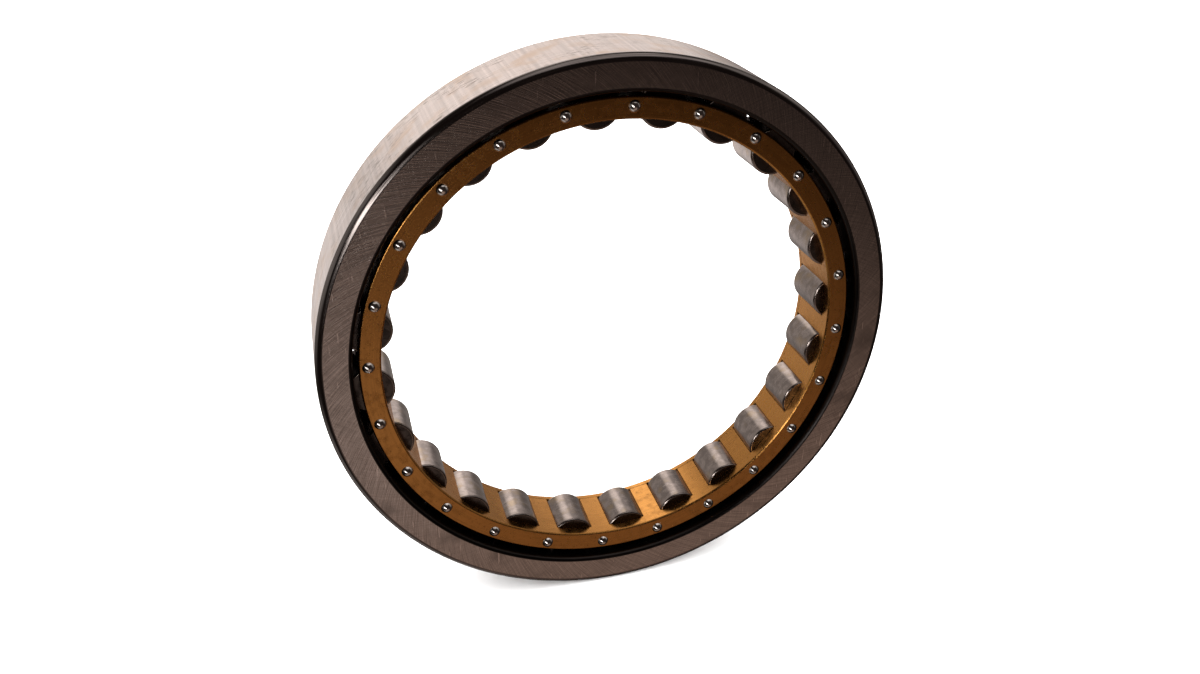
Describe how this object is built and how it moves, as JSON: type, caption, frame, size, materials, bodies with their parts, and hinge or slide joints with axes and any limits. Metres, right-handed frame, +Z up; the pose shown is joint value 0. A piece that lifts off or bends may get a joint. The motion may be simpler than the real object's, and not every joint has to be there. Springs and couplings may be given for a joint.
{
  "type": "cylindrical roller bearing",
  "caption": "Cylindrical roller bearing without an inner ring: flanged outer ring, straight rollers and a riveted machined brass cage that turns inside the ring.",
  "frame": {"origin": "centre of the bearing: on its axis, halfway between the two side faces", "axes": "Y along the bearing's axis, which is level: the comb's solid ring is at the front, the -Y side, and the cover ring at the back; +Z up, +X to the right as seen from the front"},
  "size_m": [0.225, 0.035, 0.225],
  "materials": {
    "ring_steel": "ground and lightly oiled hardened bearing steel",
    "roller_steel": "fine ground hardened bearing steel",
    "cage_brass": "machined satin brass",
    "rivet_steel": "polished domed steel"
  },
  "bodies": {
    "outer_ring": {"outer_ring": "ring_steel"},
    "cage": {"cage_comb": "cage_brass", "cage_cover_ring": "cage_brass", "cage_rivets": "rivet_steel"},
    "roller_01": {"roller_01": "roller_steel"},
    "roller_02": {"roller_02": "roller_steel"},
    "roller_03": {"roller_03": "roller_steel"},
    "roller_04": {"roller_04": "roller_steel"},
    "roller_05": {"roller_05": "roller_steel"},
    "roller_06": {"roller_06": "roller_steel"},
    "roller_07": {"roller_07": "roller_steel"},
    "roller_08": {"roller_08": "roller_steel"},
    "roller_09": {"roller_09": "roller_steel"},
    "roller_10": {"roller_10": "roller_steel"},
    "roller_11": {"roller_11": "roller_steel"},
    "roller_12": {"roller_12": "roller_steel"},
    "roller_13": {"roller_13": "roller_steel"},
    "roller_14": {"roller_14": "roller_steel"},
    "roller_15": {"roller_15": "roller_steel"},
    "roller_16": {"roller_16": "roller_steel"},
    "roller_17": {"roller_17": "roller_steel"},
    "roller_18": {"roller_18": "roller_steel"},
    "roller_19": {"roller_19": "roller_steel"},
    "roller_20": {"roller_20": "roller_steel"},
    "roller_21": {"roller_21": "roller_steel"},
    "roller_22": {"roller_22": "roller_steel"},
    "roller_23": {"roller_23": "roller_steel"},
    "roller_24": {"roller_24": "roller_steel"}
  },
  "joints": [
    {"name": "cage_turn", "type": "hinge", "parent": "outer_ring", "child": "cage", "pos_m": [0, 0, 0], "axis": [0, 1, 0], "continuous": true},
    {"name": "roller_01_spin", "type": "hinge", "parent": "cage", "child": "roller_01", "pos_m": [0.09351, 0, 0.0067], "axis": [0, 1, 0], "continuous": true},
    {"name": "roller_02_spin", "type": "hinge", "parent": "cage", "child": "roller_02", "pos_m": [0.08859, 0, 0.03068], "axis": [0, 1, 0], "continuous": true},
    {"name": "roller_03_spin", "type": "hinge", "parent": "cage", "child": "roller_03", "pos_m": [0.07763, 0, 0.05256], "axis": [0, 1, 0], "continuous": true},
    {"name": "roller_04_spin", "type": "hinge", "parent": "cage", "child": "roller_04", "pos_m": [0.06138, 0, 0.07086], "axis": [0, 1, 0], "continuous": true},
    {"name": "roller_05_spin", "type": "hinge", "parent": "cage", "child": "roller_05", "pos_m": [0.04095, 0, 0.08433], "axis": [0, 1, 0], "continuous": true},
    {"name": "roller_06_spin", "type": "hinge", "parent": "cage", "child": "roller_06", "pos_m": [0.01773, 0, 0.09206], "axis": [0, 1, 0], "continuous": true},
    {"name": "roller_07_spin", "type": "hinge", "parent": "cage", "child": "roller_07", "pos_m": [-0.0067, 0, 0.09351], "axis": [0, 1, 0], "continuous": true},
    {"name": "roller_08_spin", "type": "hinge", "parent": "cage", "child": "roller_08", "pos_m": [-0.03068, 0, 0.08859], "axis": [0, 1, 0], "continuous": true},
    {"name": "roller_09_spin", "type": "hinge", "parent": "cage", "child": "roller_09", "pos_m": [-0.05256, 0, 0.07763], "axis": [0, 1, 0], "continuous": true},
    {"name": "roller_10_spin", "type": "hinge", "parent": "cage", "child": "roller_10", "pos_m": [-0.07086, 0, 0.06138], "axis": [0, 1, 0], "continuous": true},
    {"name": "roller_11_spin", "type": "hinge", "parent": "cage", "child": "roller_11", "pos_m": [-0.08433, 0, 0.04095], "axis": [0, 1, 0], "continuous": true},
    {"name": "roller_12_spin", "type": "hinge", "parent": "cage", "child": "roller_12", "pos_m": [-0.09206, 0, 0.01773], "axis": [0, 1, 0], "continuous": true},
    {"name": "roller_13_spin", "type": "hinge", "parent": "cage", "child": "roller_13", "pos_m": [-0.09351, 0, -0.0067], "axis": [0, 1, 0], "continuous": true},
    {"name": "roller_14_spin", "type": "hinge", "parent": "cage", "child": "roller_14", "pos_m": [-0.08859, 0, -0.03068], "axis": [0, 1, 0], "continuous": true},
    {"name": "roller_15_spin", "type": "hinge", "parent": "cage", "child": "roller_15", "pos_m": [-0.07763, 0, -0.05256], "axis": [0, 1, 0], "continuous": true},
    {"name": "roller_16_spin", "type": "hinge", "parent": "cage", "child": "roller_16", "pos_m": [-0.06138, 0, -0.07086], "axis": [0, 1, 0], "continuous": true},
    {"name": "roller_17_spin", "type": "hinge", "parent": "cage", "child": "roller_17", "pos_m": [-0.04095, 0, -0.08433], "axis": [0, 1, 0], "continuous": true},
    {"name": "roller_18_spin", "type": "hinge", "parent": "cage", "child": "roller_18", "pos_m": [-0.01773, 0, -0.09206], "axis": [0, 1, 0], "continuous": true},
    {"name": "roller_19_spin", "type": "hinge", "parent": "cage", "child": "roller_19", "pos_m": [0.0067, 0, -0.09351], "axis": [0, 1, 0], "continuous": true},
    {"name": "roller_20_spin", "type": "hinge", "parent": "cage", "child": "roller_20", "pos_m": [0.03068, 0, -0.08859], "axis": [0, 1, 0], "continuous": true},
    {"name": "roller_21_spin", "type": "hinge", "parent": "cage", "child": "roller_21", "pos_m": [0.05256, 0, -0.07763], "axis": [0, 1, 0], "continuous": true},
    {"name": "roller_22_spin", "type": "hinge", "parent": "cage", "child": "roller_22", "pos_m": [0.07086, 0, -0.06138], "axis": [0, 1, 0], "continuous": true},
    {"name": "roller_23_spin", "type": "hinge", "parent": "cage", "child": "roller_23", "pos_m": [0.08433, 0, -0.04095], "axis": [0, 1, 0], "continuous": true},
    {"name": "roller_24_spin", "type": "hinge", "parent": "cage", "child": "roller_24", "pos_m": [0.09206, 0, -0.01773], "axis": [0, 1, 0], "continuous": true}
  ],
  "couplings": [
    {"joint": "roller_01_spin", "follows": "cage_turn", "ratio": -11.417},
    {"joint": "roller_02_spin", "follows": "cage_turn", "ratio": -11.417},
    {"joint": "roller_03_spin", "follows": "cage_turn", "ratio": -11.417},
    {"joint": "roller_04_spin", "follows": "cage_turn", "ratio": -11.417},
    {"joint": "roller_05_spin", "follows": "cage_turn", "ratio": -11.417},
    {"joint": "roller_06_spin", "follows": "cage_turn", "ratio": -11.417},
    {"joint": "roller_07_spin", "follows": "cage_turn", "ratio": -11.417},
    {"joint": "roller_08_spin", "follows": "cage_turn", "ratio": -11.417},
    {"joint": "roller_09_spin", "follows": "cage_turn", "ratio": -11.417},
    {"joint": "roller_10_spin", "follows": "cage_turn", "ratio": -11.417},
    {"joint": "roller_11_spin", "follows": "cage_turn", "ratio": -11.417},
    {"joint": "roller_12_spin", "follows": "cage_turn", "ratio": -11.417},
    {"joint": "roller_13_spin", "follows": "cage_turn", "ratio": -11.417},
    {"joint": "roller_14_spin", "follows": "cage_turn", "ratio": -11.417},
    {"joint": "roller_15_spin", "follows": "cage_turn", "ratio": -11.417},
    {"joint": "roller_16_spin", "follows": "cage_turn", "ratio": -11.417},
    {"joint": "roller_17_spin", "follows": "cage_turn", "ratio": -11.417},
    {"joint": "roller_18_spin", "follows": "cage_turn", "ratio": -11.417},
    {"joint": "roller_19_spin", "follows": "cage_turn", "ratio": -11.417},
    {"joint": "roller_20_spin", "follows": "cage_turn", "ratio": -11.417},
    {"joint": "roller_21_spin", "follows": "cage_turn", "ratio": -11.417},
    {"joint": "roller_22_spin", "follows": "cage_turn", "ratio": -11.417},
    {"joint": "roller_23_spin", "follows": "cage_turn", "ratio": -11.417},
    {"joint": "roller_24_spin", "follows": "cage_turn", "ratio": -11.417}
  ]
}
